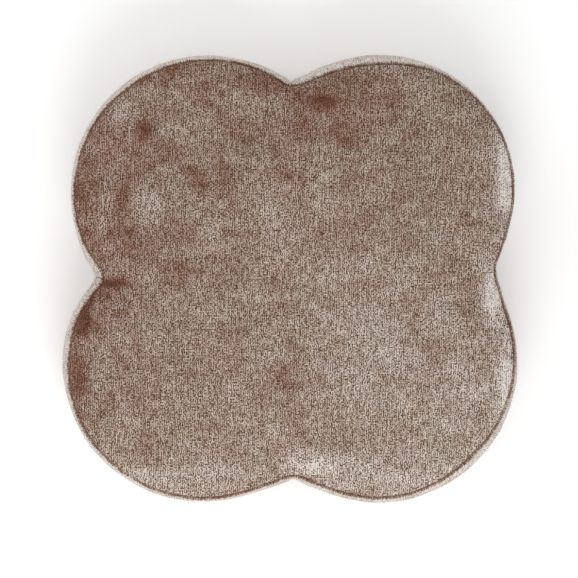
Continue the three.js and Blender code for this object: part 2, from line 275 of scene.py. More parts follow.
def fold_cloth():
    """Blows the cover up as cloth, its seams gathered, and gives how far each point leaves the
    smooth form, without the broad swelling. Millimetres."""
    turn = np.arange(SIM_COLUMNS) / SIM_COLUMNS
    start = surface(turn, SIM_ROWS)
    rows = len(SIM_ROWS)
    mesh = bpy.data.meshes.new("fold_cloth")
    index = np.arange(rows * SIM_COLUMNS).reshape(rows, SIM_COLUMNS)
    right = np.roll(index, -1, 1)
    quads = np.stack([index[:-1], index[1:], right[1:], right[:-1]], -1).reshape(-1, 4)
    # The first and last rows lie on the axis, so they are drawn apart by a hair.
    grid = start.copy()
    hub = true_outline(turn, 0.0) * 0.01
    grid[0, :, :2], grid[-1, :, :2] = hub, hub
    mesh.from_pydata((grid.reshape(-1, 3) * MM).tolist(), [], quads.tolist())
    cloth_object = bpy.data.objects.new("fold_cloth", mesh)
    bpy.context.scene.collection.objects.link(cloth_object)
    held = cloth_object.vertex_groups.new(name="held")
    gathered = cloth_object.vertex_groups.new(name="gathered")
    for row, place in enumerate(SIM_ROWS):
        ids = index[row].tolist()
        if place < -95 or place > BORDER + 1:
            held.add(ids, 1.0, "REPLACE")
        if abs(place) < 2 or abs(place - BORDER) < 4:
            gathered.add(ids, 1.0, "REPLACE")
    quarter = SIM_COLUMNS // 4
    notches = [c for q in range(4) for c in (q * quarter - 1, q * quarter, q * quarter + 1)]
    inside = (SIM_ROWS > 0) & (SIM_ROWS < BORDER)
    for row in np.flatnonzero(inside):
        gathered.add([int(index[row, c % SIM_COLUMNS]) for c in notches], 0.8, "REPLACE")
    modifier = cloth_object.modifiers.new("cloth", "CLOTH")
    cloth = modifier.settings
    cloth.quality = 6
    cloth.mass = 0.25
    cloth.tension_stiffness = cloth.compression_stiffness = 18
    cloth.shear_stiffness = 4
    cloth.bending_stiffness = 0.35
    cloth.use_pressure = True
    cloth.uniform_pressure_force = 3.0
    cloth.vertex_group_mass = "held"
    cloth.vertex_group_shrink = "gathered"
    cloth.shrink_min = -0.035
    cloth.shrink_max = 0.05
    cloth.effector_weights.gravity = 0
    modifier.point_cache.frame_start = 1
    modifier.point_cache.frame_end = SIM_FRAMES
    scene = bpy.context.scene
    for number in range(1, SIM_FRAMES + 1):
        scene.frame_set(number)
    made = cloth_object.evaluated_get(bpy.context.evaluated_depsgraph_get()).to_mesh()
    flat = np.empty(len(made.vertices) * 3, np.float32)
    made.vertices.foreach_get("co", flat)
    ended = flat.reshape(rows, SIM_COLUMNS, 3) / MM
    scene.frame_set(1)
    bpy.data.objects.remove(cloth_object)
    bpy.data.meshes.remove(mesh)
    moved = ended - grid
    out = (moved * normals(start)).sum(-1)
    broad = out.copy()
    for _ in range(60):
        broad = (np.roll(broad, 1, 1) + 2 * broad + np.roll(broad, -1, 1)) / 4
    detail = out - broad
    detail[0] = detail[-1] = 0
    return np.clip(detail, -FOLD_LIMIT, FOLD_LIMIT)


def sample(grid, rows, columns):
    """Smooth Catmull-Rom reading of a grid at fractional rows and wrapped fractional columns."""
    def weights(t):
        return (
            (-t + 2 * t ** 2 - t ** 3) / 2, (2 - 5 * t ** 2 + 3 * t ** 3) / 2,
            (t + 4 * t ** 2 - 3 * t ** 3) / 2, (-t ** 2 + t ** 3) / 2,
        )
    low_row, low_column = np.floor(rows).astype(int), np.floor(columns).astype(int)
    by_row, by_column = weights(rows - low_row), weights(columns - low_column)
    total = 0
    for i in range(4):
        r = np.clip(low_row + i - 1, 0, grid.shape[0] - 1)
        for j in range(4):
            c = (low_column + j - 1) % grid.shape[1]
            total = total + grid[np.ix_(r, c)] * np.outer(by_row[i], by_column[j])
    return total


# ---------------------------------------------------------------- relief

def smooth_noise(points, size, seed):
    """Perlin noise at points in millimetres, with lumps of about this size."""
    flat = points.reshape(-1, 3) / size + np.array([seed * 17.3, seed * 5.1, seed * 9.7])
    values = np.fromiter((noise.noise(p) for p in flat.tolist()), float, len(flat))
    return values.reshape(points.shape[:-1])


GROOVE_WIDTH = 0.95
LIP_PLACE, LIP_WIDTH = 2.7, 1.25  # how far the rolled lip stands from the seam, and its width


def seam_profile(distance, lip):
    """Height of the sewn edge at a distance from the seam: a groove, then a rolled lip."""
    s = shape()
    groove = -s.groove / MM * np.exp(-(distance / GROOVE_WIDTH) ** 2)
    return groove + lip * np.exp(-((distance - LIP_PLACE) / LIP_WIDTH) ** 2)


# Where the nap has been brushed or sat on, with painted sheen on the right rolled edge and by the
# bottom hollow, painted shade in the folds and seam of the left hollow, and darker patches along
# the left rolled edges, part rust and part painted shade: place in plan, size each way, and how
# pale (above 0) or how dark it looks. Millimetres.
CRUSHES_SHEEN_AND_SHADE = (
    ((-142, 68), (17, 17), 1.5), ((-121, 147), (13, 9), 1.2), ((-170, 163), (12, 12), 1.2),
    ((-140, 184), (20, 9), 0.8), ((-22, 68), (36, 26), 0.75), ((68, -50), (52, 46), 0.5),
    ((-60, 20), (26, 44), 0.3), ((110, -110), (60, 60), 0.15), ((20, -184), (26, 12), 1.7),
    ((-132, -194), (52, 12), 1.2), ((-60, -190), (30, 10), 0.7), ((100, -200), (60, 14), 0.45),
    ((211, 112), (10, 46), 3.3), ((198, -16), (11, 24), 3.2), ((212, -100), (9, 40), 2.3),
    ((28, 178), (19, 11), -1.6), ((10, 152), (10, 10), -0.9), ((54, 139), (13, 7), -1.0),
    ((70, 196), (30, 9), -0.5), ((-32, 195), (22, 9), -0.8), ((-145, 147), (9, 8), -1.3),
    ((-97, 97), (9, 13), -1.2), ((-66, 103), (9, 10), -0.7), ((-168, 82), (7, 15), -1.1),
    ((-205, 70), (9, 40), -0.7), ((-199, -17), (3, 11), -1.6), ((-205, -35), (3, 13), -1.6),
    ((-176, -3), (20, 4.5), -1.7), ((-203, -42), (15, 15), -1.1), ((-211, -92), (9, 44), -1.1),
    ((-160, 40), (30, 30), -0.4), ((8, 84), (7, 24), -0.5), ((60, 150), (50, 26), -0.45),
    ((-110, 10), (34, 12), -0.4), ((120, 60), (40, 30), -0.25),
    ((178, -25), (12, 40), -0.5), ((0, -100), (14, 40), -0.35), ((-130, -80), (50, 14), -0.25),
)
SHEEN_FACING = np.array([0.9, -0.42, 0.1])  # slopes that face this way get painted sheen, and slopes that face away painted shade
PALE_SLANT = 0.0016  # how much paler each millimetre towards +X -Y makes the pile
SHEEN_SLANT_REACH = 260  # from the axis to where the border's painted sheen and darker rolled edge change most, towards +X -Y
ROLLED_EDGE = 4.0  # width of the strip that the seam rolls over, at the border's top
BORDER_PLACES, BORDER_SHEEN = (0, 30, 62), (2.4, 2.4, 1.0)  # distance below the seam, how much painted sheen


def nap_sheen_and_shade(points, normal, flatness):
    """How pale the crushed pile looks at each point, around 0, with painted sheen on slopes that face +X
    -Y and painted shade on slopes that face away.
    """
    x, y = points[..., 0], points[..., 1]
    value = PALE_SLANT * (x - y) * flatness
    for (cx, cy), (sx, sy), strength in CRUSHES_SHEEN_AND_SHADE:
        value = value + flatness * strength * np.exp(-((x - cx) / sx) ** 2 - ((y - cy) / sy) ** 2)
    # Painted sheen on slopes that face +X -Y, and painted shade on slopes that face away.
    facing = (normal * SHEEN_FACING).sum(-1)
    towards = 0.9 * np.maximum(0, facing - 0.28) * flatness
    away = 0.6 * np.maximum(0, -facing - 0.2) * flatness
    return value + towards - away


def border_sheen_and_edge(points, down):
    """Painted sheen on the border: paler near the top seam and less so lower down, a little paler
    towards -X +Y, and darker on the rolled edge under the seam, most towards +X -Y."""
    x, y = points[..., 0], points[..., 1]
    sheen_slant = np.clip((x - y) / SHEEN_SLANT_REACH, -1, 1)
    edge = np.exp(-(down / ROLLED_EDGE) ** 2)
    pale = np.interp(down, BORDER_PLACES, BORDER_SHEEN)
    return pale - 0.1 * sheen_slant - edge * (1.3 + 1.1 * sheen_slant)


LOBE_RUN = 380.0  # length of the border round one lobe
CREASE_WIDTH, CREASE_SHADE = 9.0, 1.4  # half widths of a hollow's crease and of the painted shade line in it
TOP_RUST_SHADE, BASE_RUST_SHADE = 1.7, 1.3  # half widths of the rust line and its painted groove shade along each seam


class Cover:
    """The whole cover as one fine grid, which the panels are cut from."""

    def __init__(self):
        s = shape()
        near = np.array([0, 0.5, 1, 1.5, 2.1, 2.7, 3.3, 4, 4.9, 6, 7.3, 8.8, 10.5, 12.4])
        top = -np.concatenate([near, np.arange(14.4, NOMINAL - 1, 2.0), [NOMINAL]])[::-1]
        border = np.concatenate([near[1:], np.linspace(14.2, BORDER - 14.2, 30), BORDER - near[:0:-1]])
        base = BORDER + np.concatenate([near, np.arange(14.4, RIM + 1, 2.0)])
        self.path = np.concatenate([top, border, base])
        self.seam_row = len(top) - 1
        self.base_row = len(top) + len(border)
        self.turn = np.arange(s.columns) / s.columns
        self.grid = surface(self.turn, self.path)
        self.relieve()

    def relieve(self):
        s = shape()
        path = self.path[:, None]
        smooth = normals(self.grid)
        smooth[-1] = smooth[-2]
        if s.folds:
            rows = np.interp(self.path, SIM_ROWS, np.arange(len(SIM_ROWS)))
            folds = sample(fold_cloth(), rows, self.turn * SIM_COLUMNS)
            folds[self.path > BORDER] = 0
            folds *= np.interp(self.path, FOLD_PLACES, FOLD_SHARES)[:, None]
            self.grid += smooth * (folds * s.folds)[..., None]
        away_top = np.abs(path)
        away_base = np.abs(path - BORDER)
        lip = np.where(path > 0, s.ridge / MM, 0.5)
        push = seam_profile(away_top, lip)
        base_lip = np.where(path > BORDER, 0.2, s.ridge / MM)
        push = push + np.where(path > 0, seam_profile(away_base, base_lip), 0)
        push = push + self.crease()
        on_floor = np.clip((path - BORDER - 4) / 6, 0, 1)
        lumps = 0.55 * smooth_noise(self.grid, 34, 1) + 0.35 * smooth_noise(self.grid, 13, 2)
        pile = 0.22 * smooth_noise(self.grid * (1, 0.45, 0.45), 3.0, 3)
        push = push + (lumps + pile) * (1 - on_floor)
        self.grid += smooth * push[..., None]
        self.grid[..., 2] = np.maximum(self.grid[..., 2], 0)
        self.grid[0] = self.grid[0].mean(0)
        self.normal = normals(self.grid)
        self.normal[-1] = smooth[-1]
        # The seam mask: a rust tint with painted shade in the seam grooves, and a painted shade line in
        # each hollow's crease.
        seam = np.exp(-(away_top / TOP_RUST_SHADE) ** 2) + np.exp(-(away_base / BASE_RUST_SHADE) ** 2)
        self.seam = np.clip(np.broadcast_to(seam, self.grid.shape[:2]) + self.crease_shade_line(), 0, 1)
        flatness = np.clip((2 - path) / 2, 0, 1)
        flatness = np.broadcast_to(flatness, self.grid.shape[:2])
        # The border gets painted sheen and its darker rolled edge; the top its crush marks and the
        # painted sheen and shade on its slopes.
        pale = border_sheen_and_edge(self.grid, np.maximum(path, 0))
        self.nap_sheen_and_shade = nap_sheen_and_shade(self.grid, smooth, flatness) + pale * (1 - flatness)

    def notch_distance(self):
        """For each column, the nearest hollow and how far off it is along the border."""
        quarter = self.turn * 4
        which = np.round(quarter).astype(int) % 4
        share = np.abs(quarter - np.round(quarter))
        return which, share * LOBE_RUN

    def crease(self):
        which, away = self.notch_distance()
        depth = np.array(CREASE)[which] * np.exp(-(away / CREASE_WIDTH))
        on_border = np.clip(np.sin(np.pi * np.clip(self.path / BORDER, 0, 1)) * 1.6, 0, 1)
        return -on_border[:, None] * depth[None, :]

    # A painted shade line down the crease at each hollow, on the border.
    def crease_shade_line(self):
        _, away = self.notch_distance()
        inside = ((self.path > 0) & (self.path < BORDER)).astype(float)
        return inside[:, None] * np.exp(-(away / CREASE_SHADE) ** 2)[None, :]


# ---------------------------------------------------------------- mesh building

def new_piece(name, points, faces, material, body=BODY, uv=None, fields=None, smooth=True):
    """A mesh object from points in millimetres, riding on a body. uv holds cloth coordinates in
    metres, one per point, and fields holds named values, one per point."""
    mesh = bpy.data.meshes.new(name)
    mesh.from_pydata((np.asarray(points) * MM).tolist(), [], faces)
    if uv is not None:
        layer = mesh.uv_layers.new(name="cloth")
        loops = np.empty(len(mesh.loops), np.int32)
        mesh.loops.foreach_get("vertex_index", loops)
        layer.data.foreach_set("uv", np.asarray(uv, np.float32)[loops].ravel())
    for field, values in (fields or {}).items():
        attribute = mesh.attributes.new(field, "FLOAT", "POINT")
        attribute.data.foreach_set("value", np.asarray(values, np.float32))
    if smooth:
        mesh.polygons.foreach_set("use_smooth", [True] * len(mesh.polygons))
    mesh.update()
    piece = bpy.data.objects.new(name, mesh)
    bpy.context.scene.collection.objects.link(piece)
    mesh.materials.append(material)
    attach(piece, body)
    return piece


def grid_faces(rows, columns, closed):
    """Quads of a grid of points, row by row from the top down, seen from outside."""
    faces = []
    last = columns if closed else columns - 1
    for r in range(rows - 1):
        for c in range(last):
            d = (c + 1) % columns
            faces.append((r * columns + c, (r + 1) * columns + c, (r + 1) * columns + d, r * columns + d))
    return faces


def thinned_disc(cover, last_row):
    """Faces and point choice for the top: the rows lose every second point as they shorten."""
    chosen, faces = [], []
    rows = []
    step = 1
    row = last_row
    while row > 0:
        circle = cover.grid[row, :, :2]
        mean = np.linalg.norm(np.roll(circle, -step, 0) - circle, axis=1).mean()
        ahead = abs(cover.path[row] - cover.path[row - 1])
        rows.append((row, step))
        if mean < 0.7 * ahead and step < 64:
            step *= 2
        row -= 1
    total = cover.grid.shape[1]
    start = {}
    for row, step in rows:
        start[row] = len(chosen)
        chosen.extend((row, c) for c in range(0, total, step))
    hub = len(chosen)
    chosen.append((0, 0))
    for (outer, fine), (inner, coarse) in zip(rows, rows[1:]):
        a, b = start[outer], start[inner]
        n, m = total // fine, total // coarse
        if n == m:
            faces += [(b + j, a + j, a + (j + 1) % n, b + (j + 1) % m) for j in range(n)]
            continue
        for j in range(m):
            k, f0, f1, f2 = (j + 1) % m, 2 * j, 2 * j + 1, (2 * j + 2) % n
            faces += [(b + j, a + f0, a + f1), (b + j, a + f1, b + k), (b + k, a + f1, a + f2)]
    row, step = rows[-1]
    a, n = start[row], total // step
    faces += [(hub, a + j, a + (j + 1) % n) for j in range(n)]
    return chosen, faces


# ---------------------------------------------------------------- materials

def add(tree, kind, inputs=None, **settings):
    """Adds a shader node. inputs maps socket names or numbers to values or to other sockets."""
    node = tree.nodes.new(kind)
    for key, value in settings.items():
        setattr(node, key, value)
    for key, value in (inputs or {}).items():
        socket = node.inputs[key]
        if isinstance(value, bpy.types.NodeSocket):
            tree.links.new(value, socket)
        else:
            socket.default_value = value
    return node


def new_material(name):
    """A material with its output and Principled shader, ready for links."""
    material = bpy.data.materials.new(name)
    material.use_nodes = True
    tree = material.node_tree
    tree.nodes.clear()
    shader = add(tree, "ShaderNodeBsdfPrincipled")
    add(tree, "ShaderNodeOutputMaterial", {"Surface": shader.outputs[0]})
    return material, tree, shader


def set_ramp(ramp, stops):
    elements = ramp.color_ramp.elements
    while len(elements) > 1:
        elements.remove(elements[-1])
    elements[0].position, elements[0].color = stops[0][0], (*srgb(stops[0][1]), 1)
    for place, code in stops[1:]:
        elements.new(place).color = (*srgb(code), 1)


def weighted(tree, *terms):
    """Sum of (socket, weight, middle) terms, each weight times (socket - middle)."""
    total = None
    for socket, weight, middle in terms:
        part = add(tree, "ShaderNodeMath", {
            0: socket, 1: weight, 2: -weight * middle,
        }, operation="MULTIPLY_ADD").outputs[0]
        total = part if total is None else add(tree, "ShaderNodeMath", {
            0: total, 1: part,
        }, operation="ADD").outputs[0]
    return total


def cloth_noise(tree, cloth, across, along, detail=2.0, roughness=0.5, seed=0.0):
    """Noise on the cloth's own coordinates with lumps this many millimetres across and along."""
    scaled = add(tree, "ShaderNodeMapping", {
        "Vector": cloth, "Location": (seed, seed * 0.7, seed * 1.3),
        "Scale": (1 / (across * MM), 1 / (along * MM), 1),
    })
    return add(tree, "ShaderNodeTexNoise", {
        "Vector": scaled.outputs[0], "Scale": 1.0, "Detail": detail, "Roughness": roughness,
    }, noise_dimensions="2D").outputs[0]


def chenille(name):
    """Crushed chenille velvet: short lustrous pile in fine ribs. Pile that leans away shows its
    dark rust sides, and pile that leans over shows a pale grey-pink gloss."""
    material, tree, shader = new_material(name)
    cloth = add(tree, "ShaderNodeUVMap", uv_map="cloth").outputs[0]
    nap_and_painted_light = add(tree, "ShaderNodeAttribute", attribute_name="nap_sheen_and_shade").outputs["Fac"]
    seam = add(tree, "ShaderNodeAttribute", attribute_name="seam").outputs["Fac"]
    broad = cloth_noise(tree, cloth, 44, 40, 2, 0.5, 1.7)
    across = cloth_noise(tree, cloth, 22, 12, 1, 0.5, 4.1)
    upright = cloth_noise(tree, cloth, 9, 30, 1, 0.5, 6.3)
    columns = cloth_noise(tree, cloth, 2.7, 9, 0, 0.5, 8.9)
    clumps = cloth_noise(tree, cloth, 2.0, 2.9, 0, 0.5, 2.2)
    grain = cloth_noise(tree, cloth, 1.05, 1.5, 0, 0.5, 11.2)
    dye = cloth_noise(tree, cloth, 62, 75, 2, 0.5, 21.4)
    wander = cloth_noise(tree, cloth, 26, 38, 0, 0.5, 13.0)
    pitch = look().rib_pitch
    spread = add(tree, "ShaderNodeSeparateXYZ", {0: cloth}).outputs[0]
    phase = add(tree, "ShaderNodeMath", {0: spread, 1: 2 * math.pi / pitch}, operation="MULTIPLY")
    bent = add(tree, "ShaderNodeMath", {
        0: wander, 1: 12.0, 2: phase.outputs[0],
    }, operation="MULTIPLY_ADD")
    ribs = add(tree, "ShaderNodeMath", {0: bent.outputs[0]}, operation="SINE").outputs[0]
    # The field colour follows the way the pile leans over whole patches, and the painted sheen and shade
    # carried with it.
    field = weighted(
        tree, (broad, 0.34, 0.5), (across, 0.26, 0.5), (upright, 0.14, 0.5), (nap_and_painted_light, 0.2, 0.0),
    )
    lean = add(tree, "ShaderNodeMath", {0: field, 1: 0.5}, operation="ADD").outputs[0]
    ramp = add(tree, "ShaderNodeValToRGB", {0: lean})
    set_ramp(ramp, (
        (0.08, "#62371f"), (0.28, "#7b4f36"), (0.42, "#8a6b57"), (0.56, "#99826f"),
        (0.7, "#ab998d"), (0.86, "#c3b4aa"), (1.0, "#ebe3de"),
    ))
    # Between the tufts their dark roots show, and their cut tips catch the light.
    tufts = weighted(
        tree, (grain, 1.55, 0.5), (clumps, 0.45, 0.5), (columns, 0.5, 0.5), (ribs, 0.13, 0.0),
    )
    roots = add(tree, "ShaderNodeMapRange", {
        "Value": tufts, "From Min": 0.04, "From Max": -0.42, "To Min": 0.0, "To Max": 0.95,
    }).outputs[0]
    # Pile that lies quite flat hides its roots.
    flat = add(tree, "ShaderNodeMapRange", {
        "Value": lean, "From Min": 0.95, "From Max": 1.15, "To Min": 1.0, "To Max": 0.75,
    }).outputs[0]
    roots = add(tree, "ShaderNodeMath", {0: roots, 1: flat}, operation="MULTIPLY").outputs[0]
    tips = add(tree, "ShaderNodeMapRange", {
        "Value": tufts, "From Min": -0.04, "From Max": 0.42, "To Min": 0.0, "To Max": 1.0,
    }).outputs[0]
    gloss = add(tree, "ShaderNodeMapRange", {
        "Value": lean, "From Min": 0.15, "From Max": 0.85, "To Min": 0.08, "To Max": 1.0,
    }).outputs[0]
    lit = add(tree, "ShaderNodeMath", {0: tips, 1: gloss}, operation="MULTIPLY").outputs[0]
    shaded = add(tree, "ShaderNodeMix", {
        0: roots, 6: ramp.outputs[0], 7: (*srgb("#432519"), 1),
    }, data_type="RGBA")
    tipped = add(tree, "ShaderNodeMix", {
        0: lit, 6: shaded.outputs[2], 7: (*srgb("#ebe0da"), 1),
    }, data_type="RGBA")
    # The dye took unevenly: some patches are more olive and some more pink.
    tint = add(tree, "ShaderNodeValToRGB", {0: dye})
    set_ramp(tint, ((0.3, "#fafcf6"), (0.7, "#fffbfb")))
    dyed = add(tree, "ShaderNodeMix", {
        0: 1.0, 6: tipped.outputs[2], 7: tint.outputs[0],
    }, data_type="RGBA", blend_type="MULTIPLY")
    # Pile pressed into a seam stands on end and shows its rust roots, in some places more, and the seam
    # grooves and the hollows' creases get painted shade.
    uneven = add(tree, "ShaderNodeMath", {
        0: upright, 1: 1.9, 2: -0.15,
    }, operation="MULTIPLY_ADD").outputs[0]
    seam_rust_and_shade = add(tree, "ShaderNodeMath", {
        0: seam, 1: uneven,
    }, operation="MULTIPLY", use_clamp=True).outputs[0]
    sewn = add(tree, "ShaderNodeMix", {
        0: seam_rust_and_shade, 6: dyed.outputs[2], 7: (*srgb("#6f412c"), 1),
    }, data_type="RGBA")
    tree.links.new(sewn.outputs[2], shader.inputs["Base Color"])
    bump = add(tree, "ShaderNodeBump", {"Height": tufts, "Strength": 0.5, "Distance": 0.0012})
    tree.links.new(bump.outputs[0], shader.inputs["Normal"])
    shader.inputs["Roughness"].default_value = 0.8
    shader.inputs["IOR"].default_value = 1.45
    shader.inputs["Specular IOR Level"].default_value = 0.25
    shader.inputs["Sheen Weight"].default_value = 0.3
    shader.inputs["Sheen Roughness"].default_value = 0.35
    shader.inputs["Sheen Tint"].default_value = (*srgb("#efe6dc"), 1)
    return material


def woven(name, light, dark, thread_mm, roughness, sheen=0.2):
    """A plain weave in two close tones, drawn a little coarser than real so that it shows."""
    material, tree, shader = new_material(name)
    coordinates = add(tree, "ShaderNodeTexCoord").outputs["Object"]
    wave = {"Scale": 1 / (thread_mm * MM * 2 * math.pi) * 2, "Distortion": 0.6, "Detail": 1.0}
    warp = add(tree, "ShaderNodeTexWave", {"Vector": coordinates, **wave}, bands_direction="X").outputs[1]
    weft = add(tree, "ShaderNodeTexWave", {"Vector": coordinates, **wave}, bands_direction="Y").outputs[1]
    weave = add(tree, "ShaderNodeMath", {0: warp, 1: weft}, operation="MULTIPLY").outputs[0]
    cloud = add(tree, "ShaderNodeTexNoise", {
        "Vector": coordinates, "Scale": 60.0, "Detail": 4.0,
    }).outputs[0]
    tone = weighted(tree, (weave, 0.5, 0.4), (cloud, 0.8, 0.5))
    centred = add(tree, "ShaderNodeMath", {0: tone, 1: 0.5}, operation="ADD").outputs[0]
    ramp = add(tree, "ShaderNodeValToRGB", {0: centred})
    set_ramp(ramp, ((0.1, dark), (0.9, light)))
    tree.links.new(ramp.outputs[0], shader.inputs["Base Color"])
    bump = add(tree, "ShaderNodeBump", {"Height": weave, "Strength": 0.5, "Distance": 0.0003})
    tree.links.new(bump.outputs[0], shader.inputs["Normal"])
    shader.inputs["Roughness"].default_value = roughness
    shader.inputs["Sheen Weight"].default_value = sheen
    return material


def rgb_hex(values):
    """A linear colour property back as an sRGB hex code."""
    def channel(c):
        c = c * 12.92 if c <= 0.0031308 else 1.055 * c ** (1 / 2.4) - 0.055
        return round(min(1, max(0, c)) * 255)
    return "#" + "".join(f"{channel(c):02x}" for c in values)


def speckled(name, colour_value, roughness, metallic, scale, contrast, bump_mm):
    """One colour clouded by fine noise, for nylon, brass, thread, wadding and foam."""
    material, tree, shader = new_material(name)
    coordinates = add(tree, "ShaderNodeTexCoord").outputs["Object"]
    cloud = add(tree, "ShaderNodeTexNoise", {
        "Vector": coordinates, "Scale": scale, "Detail": 5.0,
    }).outputs[0]
    dark = tuple(c * (1 - contrast) for c in colour_value)
    pale = tuple(min(1, c * (1 + contrast)) for c in colour_value)
    ramp = add(tree, "ShaderNodeValToRGB", {0: cloud})
    set_ramp(ramp, ((0.3, rgb_hex(dark)), (0.7, rgb_hex(pale))))
    tree.links.new(ramp.outputs[0], shader.inputs["Base Color"])
    bump = add(tree, "ShaderNodeBump", {"Height": cloud, "Strength": 0.4, "Distance": bump_mm * MM})
    tree.links.new(bump.outputs[0], shader.inputs["Normal"])
    shader.inputs["Roughness"].default_value = roughness
    shader.inputs["Metallic"].default_value = metallic
    return material


def material(name):
    """The named material, made on first use."""
    made = bpy.data.materials.get(name)
    if made:
        return made
    kit = look()
    makers = {
        "crushed_chenille_velvet": (chenille,),
        # Spun polyester thread: matt, and slightly uneven in tone.
        "spun_polyester_thread": (speckled, kit.thread, 0.75, 0, 900, 0.3, 0.1),
        # Single viscose fibres: pale, because the light comes through them.
        "loose_chenille_fibre": (speckled, srgb("#e4dcd3"), 0.8, 0, 300, 0.15, 0.05),
        # Plain woven cotton: flat, matt, its threads just showing.
        "plain_woven_cotton": (woven, "#cdc1b3", "#a39485", 2.4, 0.9),
        # Woven polyester zip tape: matt and close, drawn as a plain weave.
        "woven_zip_tape": (woven, "#7d695c", "#55443a", 0.9, 0.85),
        # Extruded nylon coil: half gloss, nearly one tone.
        "extruded_nylon_coil": (speckled, kit.nylon, 0.38, 0, 700, 0.15, 0.03),
        # Die-cast zinc with an antique brass plating: satin, clouded by darker patches.
        "antique_brass_plate": (speckled, kit.brass, 0.34, 1, 420, 0.3, 0.03),
        # Spunbond polypropylene liner: thin, white, with a faint grid.
        "spunbond_liner": (woven, "#f4f2ec", "#dcd8ce", 2.4, 0.9, 0.0),
        # Carded polyester fibre: soft white, cloudy.
        "carded_fibre": (speckled, srgb("#efeeea"), 1.0, 0, 220, 0.08, 0.6),
        # Flexible polyurethane foam: pale yellow, open cells.
        "cut_foam": (speckled, srgb("#e6dab0"), 0.95, 0, 800, 0.14, 0.5),
    }
    maker, *settings = makers[name]
    return maker(name, *settings)


# ---------------------------------------------------------------- cover pieces

SHARED = {}


def cover():
    """The cover, made once and shared by the pieces that are cut from it."""
    if "cover" not in SHARED:
        SHARED["cover"] = Cover()
    return SHARED["cover"]


STRIP_SHIFT = 431.0  # each border strip is cut from another stretch of the cloth
VELVET_THICK, COTTON_THICK = 1.0, 0.8


def thicken(piece, thickness):
    """Gives a cloth panel its inner face, so that it is closed."""
    solid = piece.modifiers.new("cloth thickness", "SOLIDIFY")
    solid.thickness = thickness * MM
    solid.offset = -1
    solid.use_rim = True


class CUSHION_OT_top(bpy.types.Operator):
    """Make the top panel, rolled over into its seam"""
    bl_idname = "cushion.top"
    bl_label = "Top panel"

    def execute(self, context):
        whole = cover()
        chosen, faces = thinned_disc(whole, whole.seam_row)
        rows, columns = np.array(chosen).T
        points = whole.grid[rows, columns]
        piece = new_piece(
            "top_velvet", points, faces, material("crushed_chenille_velvet"),
            uv=points[:, :2] * MM,
            fields={"nap_sheen_and_shade": whole.nap_sheen_and_shade[rows, columns], "seam": whole.seam[rows, columns]},
        )
        thicken(piece, VELVET_THICK)
        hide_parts("top_panel")
        return {"FINISHED"}


class CUSHION_OT_border(bpy.types.Operator):
    """Make the four strips of the border, joined at the hollows"""
    bl_idname = "cushion.border"
    bl_label = "Border strips"

    def execute(self, context):
        whole = cover()
        rows = np.arange(whole.seam_row, whole.base_row + 1)
        total = len(whole.turn)
        places = ("back_right", "back_left", "front_left", "front_right")
        for quarter, place in enumerate(places):
            columns = np.arange(quarter * total // 4, (quarter + 1) * total // 4 + 1) % total
            points = whole.grid[np.ix_(rows, columns)]
            steps = np.linalg.norm(np.diff(points[:, :, :2], axis=1), axis=-1).mean(0)
            along = np.concatenate([[0], np.cumsum(steps)]) + quarter * STRIP_SHIFT
            uv = np.stack([np.broadcast_to(along, points.shape[:2]), points[..., 2]], -1)
            piece = new_piece(
                f"border_velvet_{place}", points.reshape(-1, 3),
                grid_faces(len(rows), len(columns), False),
                material("crushed_chenille_velvet"), uv=uv.reshape(-1, 2) * MM,
                fields={
                    "nap_sheen_and_shade": whole.nap_sheen_and_shade[np.ix_(rows, columns)].ravel(),
                    "seam": whole.seam[np.ix_(rows, columns)].ravel(),
                },
            )
            thicken(piece, VELVET_THICK)
            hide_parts(f"border_{place}")
        return {"FINISHED"}


class CUSHION_OT_fuzz(bpy.types.Operator):
    """Stand loose pile fibres along the border"""
    bl_idname = "cushion.fuzz"
    bl_label = "Loose pile"

    def execute(self, context):
        whole = cover()
        draw = np.random.default_rng(7)
        count = look().fibres
        low = int(np.searchsorted(whole.path, 6.0))
        rows = draw.integers(low, whole.base_row - 2, count)
        columns = draw.integers(0, len(whole.turn), count)
        share = draw.random((count, 2, 1))
        root = whole.grid[rows, columns]
        beside = whole.grid[rows, (columns + 1) % len(whole.turn)]
        below = whole.grid[rows + 1, columns]
        root = root + (beside - root) * share[:, 0] + (below - root) * share[:, 1]
        normal = whole.normal[rows, columns]
        lean = draw.normal(0, 0.55, (count, 3))
        direction = normal + lean
        direction /= np.linalg.norm(direction, axis=1, keepdims=True)
        size = draw.uniform(1.0, 2.9, (count, 1))
        side = np.cross(direction, lean)
        side /= np.linalg.norm(side, axis=1, keepdims=True)
        up = np.cross(direction, side)
        thick = 0.13
        foot = root - normal * 0.3
        corners = [
            foot + thick * (side * math.cos(a) + up * math.sin(a)) for a in (0.0, 2.1, 4.2)
        ]
        tip = root + direction * size
        points = np.stack([*corners, tip], 1).reshape(-1, 3)
        points[:, 2] = np.maximum(points[:, 2], 0.05)
        faces = []
        for first in range(0, 4 * count, 4):
            a, b, c, d = range(first, first + 4)
            faces += [(a, c, b), (a, b, d), (b, c, d), (c, a, d)]
        piece = new_piece(
            "loose_pile", points, faces, material("loose_chenille_fibre"), smooth=False,
        )
        return {"FINISHED"}


def pocket_path(half_x, half_y, height, side, columns):
    """One line round half of the zip pocket, from its end on the side's start to the other end."""
    s = np.linspace(0, 1, columns)
    corner = NOTCH_SHARE / 2
    x = np.interp(s, [0, corner, 1 - corner, 1], [-half_x, -half_x, half_x, half_x])
    y = np.interp(s, [0, corner, 1 - corner, 1], [0, -half_y, -half_y, 0])
    if side > 0:
        x, y = -x, -y
    return np.stack([x, y, np.full(columns, height)], -1)


